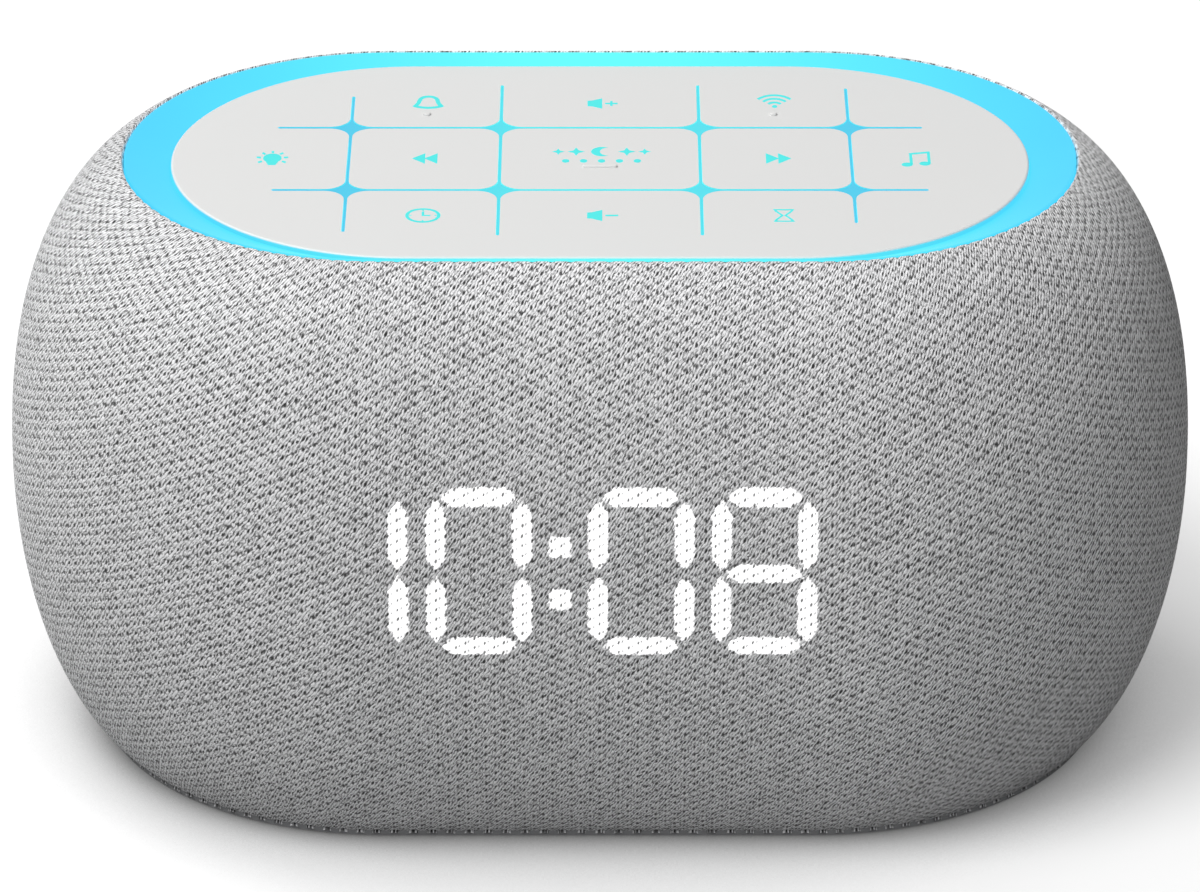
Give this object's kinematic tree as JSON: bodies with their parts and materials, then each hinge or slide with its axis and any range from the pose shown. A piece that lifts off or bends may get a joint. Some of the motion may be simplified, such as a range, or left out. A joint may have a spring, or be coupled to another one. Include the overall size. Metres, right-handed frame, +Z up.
{
  "type": "talking clock",
  "caption": "Pillow-shaped bedside clock with a knit-covered body, digits shining through the front, a light ring and pressable keys on top.",
  "frame": {"origin": "centre of the footprint, on the surface that the feet stand on", "axes": "+Z up, the display faces -Y, +X along the long side to the right as seen from the front"},
  "size_m": [0.1602, 0.1028, 0.0824],
  "materials": {
    "grey_knit": "knitted mesh cloth",
    "shell_plastic": "moulded",
    "base_plastic": "fine texture",
    "foot_rubber": "matte",
    "screw_steel": "zinc plated",
    "ring_glow": "lit diffuser",
    "key_plastic": "satin",
    "grid_glow": "lit diffuser",
    "white_plastic": "moulded",
    "board_green": "solder mask",
    "led_white": "phosphor",
    "black_plastic": "moulded",
    "segment_glow": "lit diffuser",
    "basket_steel": "painted",
    "magnet_ferrite": "ground",
    "surround_rubber": "matte",
    "gasket_foam": "foam",
    "cone_paper": "pressed",
    "lead_copper": "bare",
    "cell_steel": "bright",
    "inlet_steel": "stamped",
    "bezel_plastic": "fine texture",
    "ribbon_film": "film",
    "plunger_plastic": "moulded"
  },
  "bodies": {
    "clock_body": {"fabric_sleeve": "grey_knit", "upper_shell": "shell_plastic", "lower_shell": "shell_plastic", "base_plate": "base_plastic", "foot_pads": "foot_rubber", "base_screws": "screw_steel", "light_ring": "ring_glow", "control_plate": "key_plastic", "key_light_grid": "grid_glow", "grid_frame": "white_plastic", "top_frame": "white_plastic", "frame_screws": "screw_steel", "top_board": "board_green", "top_leds": "led_white", "tact_switches": "black_plastic", "display_housing": "black_plastic", "display_segments": "segment_glow", "display_board": "board_green", "display_leds": "led_white", "display_screws": "screw_steel", "speaker_basket": "basket_steel", "speaker_magnet": "magnet_ferrite", "speaker_surround": "surround_rubber", "speaker_gasket": "gasket_foam", "speaker_screws": "screw_steel", "speaker_leads": "lead_copper", "main_board": "board_green", "board_parts": "black_plastic", "board_screws": "screw_steel", "cell_holder": "black_plastic", "coin_cell": "cell_steel", "power_inlet": "inlet_steel", "port_bezel": "bezel_plastic", "top_ribbon": "ribbon_film", "display_ribbon": "ribbon_film"},
    "cone_assembly": {"speaker_cone": "cone_paper", "voice_coil": "lead_copper"},
    "alarm_button": {"alarm_key": "key_plastic", "alarm_plunger": "plunger_plastic"},
    "volume_up_button": {"volume_up_key": "key_plastic", "volume_up_plunger": "plunger_plastic"},
    "wireless_button": {"wireless_key": "key_plastic", "wireless_plunger": "plunger_plastic"},
    "lamp_button": {"lamp_key": "key_plastic", "lamp_plunger": "plunger_plastic"},
    "sound_button": {"sound_key": "key_plastic", "sound_plunger": "plunger_plastic"},
    "clock_button": {"clock_key": "key_plastic", "clock_plunger": "plunger_plastic"},
    "volume_down_button": {"volume_down_key": "key_plastic", "volume_down_plunger": "plunger_plastic"},
    "timer_button": {"timer_key": "key_plastic", "timer_plunger": "plunger_plastic"},
    "previous_button": {"previous_key": "key_plastic", "previous_plunger": "plunger_plastic"},
    "snooze_button": {"snooze_key": "key_plastic", "snooze_plunger": "plunger_plastic"},
    "next_button": {"next_key": "key_plastic", "next_plunger": "plunger_plastic"}
  },
  "joints": [
    {"name": "alarm_press", "type": "hinge", "parent": "clock_body", "child": "alarm_button", "pos_m": [-0.02353, 0.02297, 0.0798], "axis": [0.9815, 0.1915, 0], "range_deg": [0, 2], "stiffness_Nm_per_rad": 0.12},
    {"name": "volume_up_press", "type": "hinge", "parent": "clock_body", "child": "volume_up_button", "pos_m": [0, 0.02495, 0.0798], "axis": [1, 0, 0], "range_deg": [0, 2], "stiffness_Nm_per_rad": 0.12},
    {"name": "wireless_press", "type": "hinge", "parent": "clock_body", "child": "wireless_button", "pos_m": [0.02353, 0.02438, 0.0798], "axis": [0.9984, -0.0567, 0], "range_deg": [0, 2], "stiffness_Nm_per_rad": 0.12},
    {"name": "lamp_press", "type": "hinge", "parent": "clock_body", "child": "lamp_button", "pos_m": [-0.05, 0, 0.0798], "axis": [0, 1, 0], "range_deg": [0, 2], "stiffness_Nm_per_rad": 0.12},
    {"name": "sound_press", "type": "hinge", "parent": "clock_body", "child": "sound_button", "pos_m": [0.05, 0, 0.0798], "axis": [0, -1, 0], "range_deg": [0, 2], "stiffness_Nm_per_rad": 0.12},
    {"name": "clock_press", "type": "hinge", "parent": "clock_body", "child": "clock_button", "pos_m": [-0.02353, -0.02438, 0.0798], "axis": [-0.9984, 0.0567, 0], "range_deg": [0, 2], "stiffness_Nm_per_rad": 0.12},
    {"name": "volume_down_press", "type": "hinge", "parent": "clock_body", "child": "volume_down_button", "pos_m": [0, -0.02495, 0.0798], "axis": [-1, 0, 0], "range_deg": [0, 2], "stiffness_Nm_per_rad": 0.12},
    {"name": "timer_press", "type": "hinge", "parent": "clock_body", "child": "timer_button", "pos_m": [0.02353, -0.02297, 0.0798], "axis": [-0.9815, -0.1915, 0], "range_deg": [0, 2], "stiffness_Nm_per_rad": 0.12},
    {"name": "previous_press", "type": "slide", "parent": "clock_body", "child": "previous_button", "axis": [0, 0, -1], "range_m": [0, 0.0003], "stiffness_N_per_m": 2000},
    {"name": "snooze_press", "type": "slide", "parent": "clock_body", "child": "snooze_button", "axis": [0, 0, -1], "range_m": [0, 0.0003], "stiffness_N_per_m": 2000},
    {"name": "next_press", "type": "slide", "parent": "clock_body", "child": "next_button", "axis": [0, 0, -1], "range_m": [0, 0.0003], "stiffness_N_per_m": 2000},
    {"name": "cone_stroke", "type": "slide", "parent": "clock_body", "child": "cone_assembly", "axis": [0, 1, 0], "range_m": [-0.0004, 0.0004], "stiffness_N_per_m": 1500}
  ]
}
